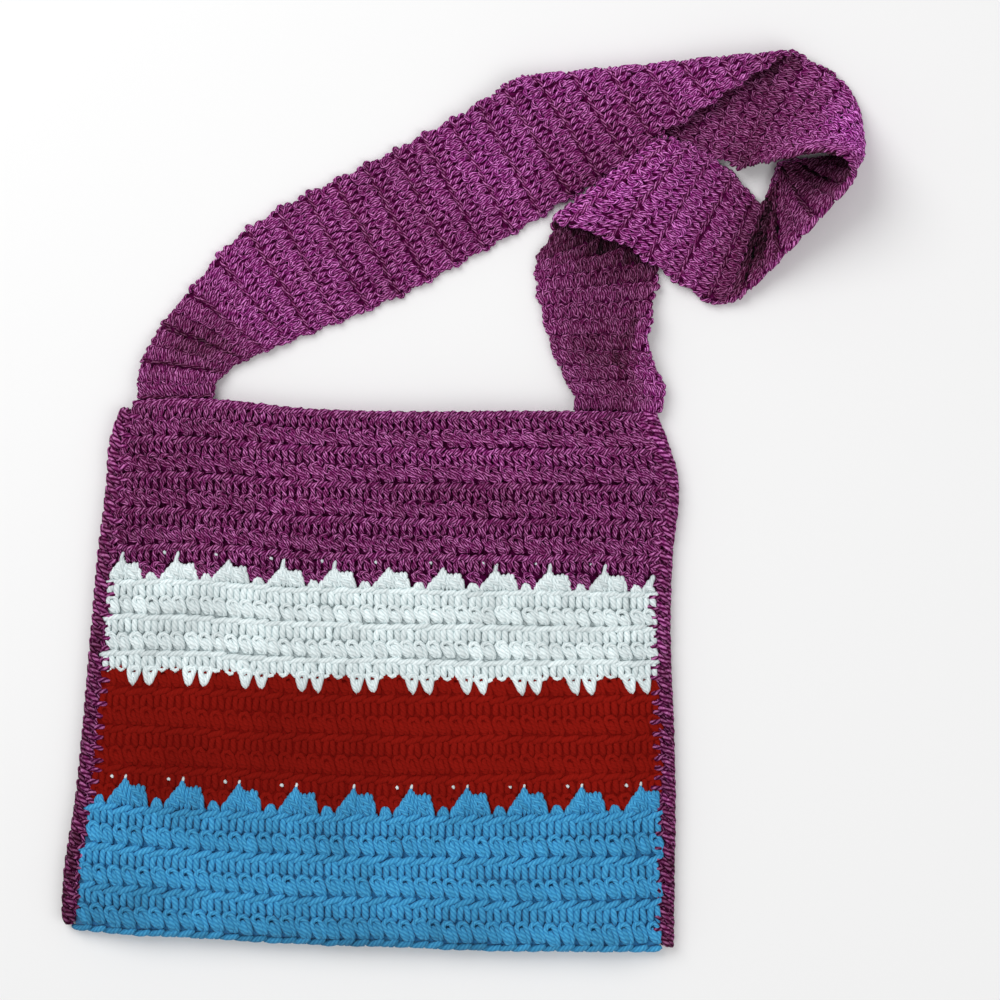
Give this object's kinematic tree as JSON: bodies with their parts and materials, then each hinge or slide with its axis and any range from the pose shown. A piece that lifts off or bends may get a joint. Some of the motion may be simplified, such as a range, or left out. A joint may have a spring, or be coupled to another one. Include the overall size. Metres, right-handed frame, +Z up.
{
  "type": "crocheted shoulder bag",
  "caption": "Flat crocheted shoulder bag lying on its back: striped body folded at the bottom, open mouth, chain seams down both sides and a long folded strap.",
  "frame": {"origin": "on the resting surface, under the middle of the bag's back layer", "axes": "+X to the right across the bag, +Y from the bottom fold to the mouth and the strap, +Z up out of the front layer"},
  "size_m": [0.4001, 0.4504, 0.0408],
  "materials": {
    "body_yarn": "matte crocheted yarn, purple with white, red and blue stripes",
    "seam_yarn": "matte purple yarn chain",
    "strap_yarn": "matte crocheted purple yarn"
  },
  "bodies": {
    "root": {"bag_body": "body_yarn", "seam_left": "seam_yarn", "seam_right": "seam_yarn", "strap": "strap_yarn"}
  },
  "joints": []
}
